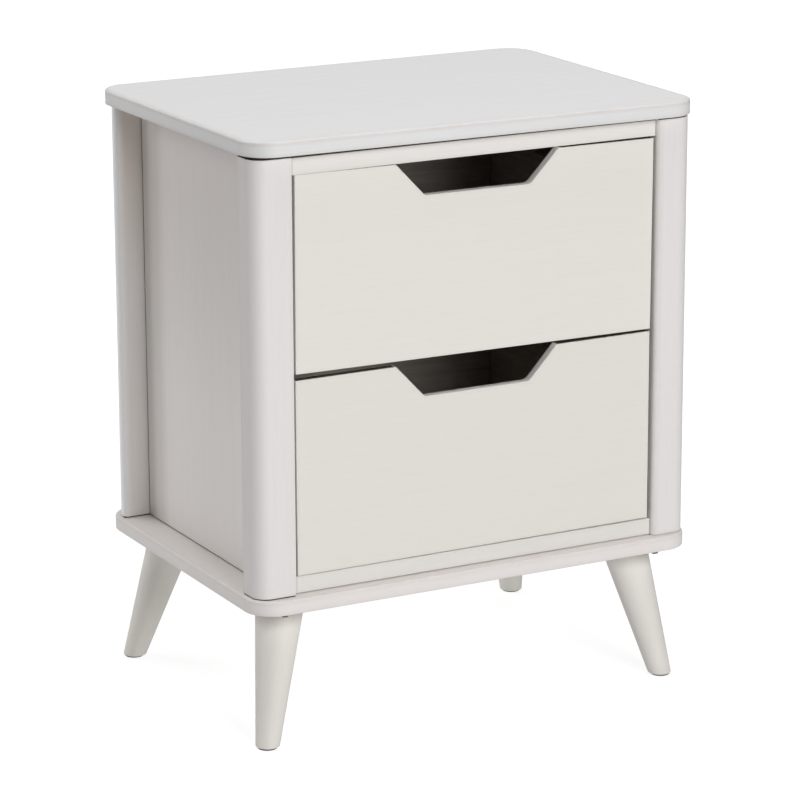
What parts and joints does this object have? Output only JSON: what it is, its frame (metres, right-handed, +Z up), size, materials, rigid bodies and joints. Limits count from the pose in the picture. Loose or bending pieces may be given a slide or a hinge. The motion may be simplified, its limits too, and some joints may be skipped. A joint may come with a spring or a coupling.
{
  "type": "nightstand",
  "caption": "Nightstand with rounded top and base boards, round-edged corner posts, drawers on telescopic slides with trapezoid finger notches, and splayed tapered round legs.",
  "frame": {"origin": "on the floor, under the centre of the top board", "axes": "+Z up; the drawer fronts face -Y and the drawers open along -Y; +X is to the right of someone facing the fronts"},
  "size_m": [0.519, 0.38, 0.635],
  "materials": {
    "whitewashed_wood": "white-washed, faint vertical grain, satin",
    "whitewashed_front_wood": "warm white wash, faint horizontal grain, satin",
    "drawer_box_wood": "bare light board, matt",
    "back_board": "thin fibreboard, white, matt",
    "zinc_steel": "zinc plated",
    "glide_plastic": "matt dark plastic"
  },
  "bodies": {
    "carcass": {"top_panel": "whitewashed_wood", "base_panel": "whitewashed_wood", "rail_front_top": "whitewashed_wood", "rail_front_bottom": "whitewashed_wood", "post_front_left": "whitewashed_wood", "post_front_right": "whitewashed_wood", "post_rear_left": "whitewashed_wood", "post_rear_right": "whitewashed_wood", "side_panel_left": "whitewashed_wood", "side_panel_right": "whitewashed_wood", "leg_front_left": "whitewashed_wood", "leg_front_right": "whitewashed_wood", "leg_rear_left": "whitewashed_wood", "leg_rear_right": "whitewashed_wood", "back_panel": "back_board", "leg_plate_front_left": "zinc_steel", "leg_plate_front_right": "zinc_steel", "leg_plate_rear_left": "zinc_steel", "leg_plate_rear_right": "zinc_steel", "leg_bolt_front_left": "zinc_steel", "leg_bolt_front_right": "zinc_steel", "leg_bolt_rear_left": "zinc_steel", "leg_bolt_rear_right": "zinc_steel", "foot_glide_front_left": "glide_plastic", "foot_glide_front_right": "glide_plastic", "foot_glide_rear_left": "glide_plastic", "foot_glide_rear_right": "glide_plastic", "slide_fixed_upper_left": "zinc_steel", "slide_fixed_upper_right": "zinc_steel", "slide_fixed_lower_left": "zinc_steel", "slide_fixed_lower_right": "zinc_steel"},
    "upper_drawer": {"upper_drawer_front": "whitewashed_front_wood", "upper_drawer_side_left": "drawer_box_wood", "upper_drawer_side_right": "drawer_box_wood", "upper_drawer_back": "drawer_box_wood", "upper_drawer_bottom": "drawer_box_wood", "slide_drawer_upper_left": "zinc_steel", "slide_drawer_upper_right": "zinc_steel"},
    "upper_left_runner": {"slide_middle_upper_left": "zinc_steel"},
    "upper_right_runner": {"slide_middle_upper_right": "zinc_steel"},
    "lower_drawer": {"lower_drawer_front": "whitewashed_front_wood", "lower_drawer_side_left": "drawer_box_wood", "lower_drawer_side_right": "drawer_box_wood", "lower_drawer_back": "drawer_box_wood", "lower_drawer_bottom": "drawer_box_wood", "slide_drawer_lower_left": "zinc_steel", "slide_drawer_lower_right": "zinc_steel"},
    "lower_left_runner": {"slide_middle_lower_left": "zinc_steel"},
    "lower_right_runner": {"slide_middle_lower_right": "zinc_steel"}
  },
  "joints": [
    {"name": "upper_drawer_slide", "type": "slide", "parent": "carcass", "child": "upper_drawer", "axis": [0, -1, 0], "range_m": [0, 0.28]},
    {"name": "upper_left_runner_slide", "type": "slide", "parent": "carcass", "child": "upper_left_runner", "axis": [0, -1, 0], "range_m": [0, 0.14]},
    {"name": "upper_right_runner_slide", "type": "slide", "parent": "carcass", "child": "upper_right_runner", "axis": [0, -1, 0], "range_m": [0, 0.14]},
    {"name": "lower_drawer_slide", "type": "slide", "parent": "carcass", "child": "lower_drawer", "axis": [0, -1, 0], "range_m": [0, 0.28]},
    {"name": "lower_left_runner_slide", "type": "slide", "parent": "carcass", "child": "lower_left_runner", "axis": [0, -1, 0], "range_m": [0, 0.14]},
    {"name": "lower_right_runner_slide", "type": "slide", "parent": "carcass", "child": "lower_right_runner", "axis": [0, -1, 0], "range_m": [0, 0.14]}
  ],
  "couplings": [
    {"joint": "upper_left_runner_slide", "follows": "upper_drawer_slide", "ratio": 0.5},
    {"joint": "upper_right_runner_slide", "follows": "upper_drawer_slide", "ratio": 0.5},
    {"joint": "lower_left_runner_slide", "follows": "lower_drawer_slide", "ratio": 0.5},
    {"joint": "lower_right_runner_slide", "follows": "lower_drawer_slide", "ratio": 0.5}
  ]
}
